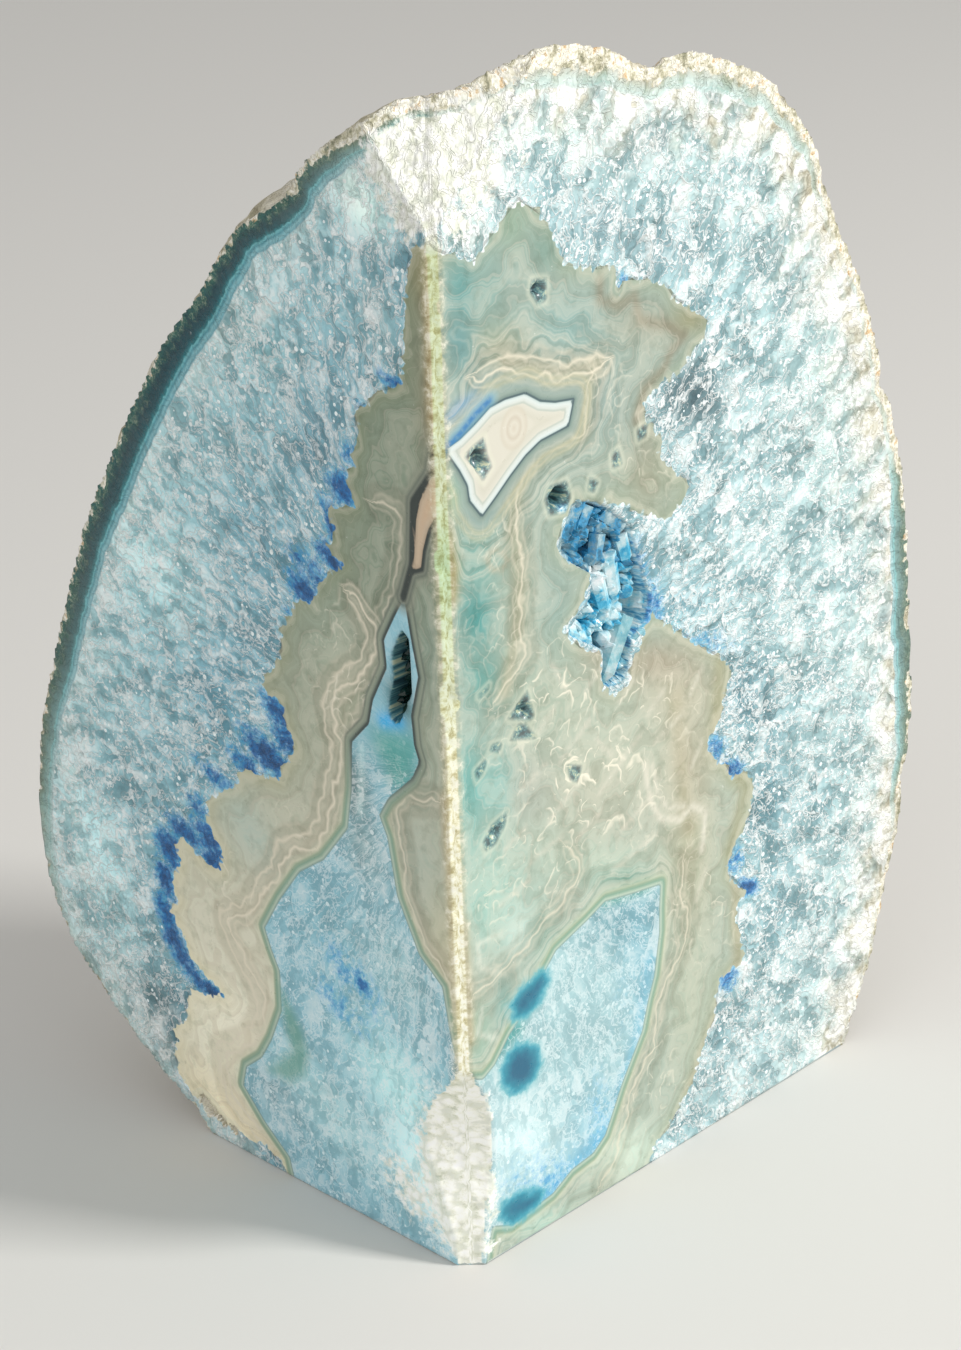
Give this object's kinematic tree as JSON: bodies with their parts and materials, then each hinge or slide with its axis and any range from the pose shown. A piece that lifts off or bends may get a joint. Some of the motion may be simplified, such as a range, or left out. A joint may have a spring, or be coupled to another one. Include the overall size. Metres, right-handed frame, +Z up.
{
  "type": "agate geode",
  "caption": "Free-standing dyed agate geode wedge: polished cut faces meet in an upright ridge, with natural rind behind, a flat sawn base and small crystal hollows",
  "frame": {"origin": "bottom centre of the bounding box, on the sawn base", "axes": "+Z up along the ridge; -Y is the front, where the ridge faces the viewer; +X to the viewer's right"},
  "size_m": [0.1216, 0.0787, 0.1562],
  "materials": {
    "agate_stone": "polished banded agate and white-blue quartz on the cut faces, rough cream rind behind",
    "blue_quartz": "glossy blue-dyed quartz crystals",
    "dark_green_quartz": "dark green quartz crystals"
  },
  "bodies": {
    "root": {"geode": "agate_stone", "blue_pocket_crystals": "blue_quartz", "slit_crystals": "dark_green_quartz"}
  },
  "joints": []
}
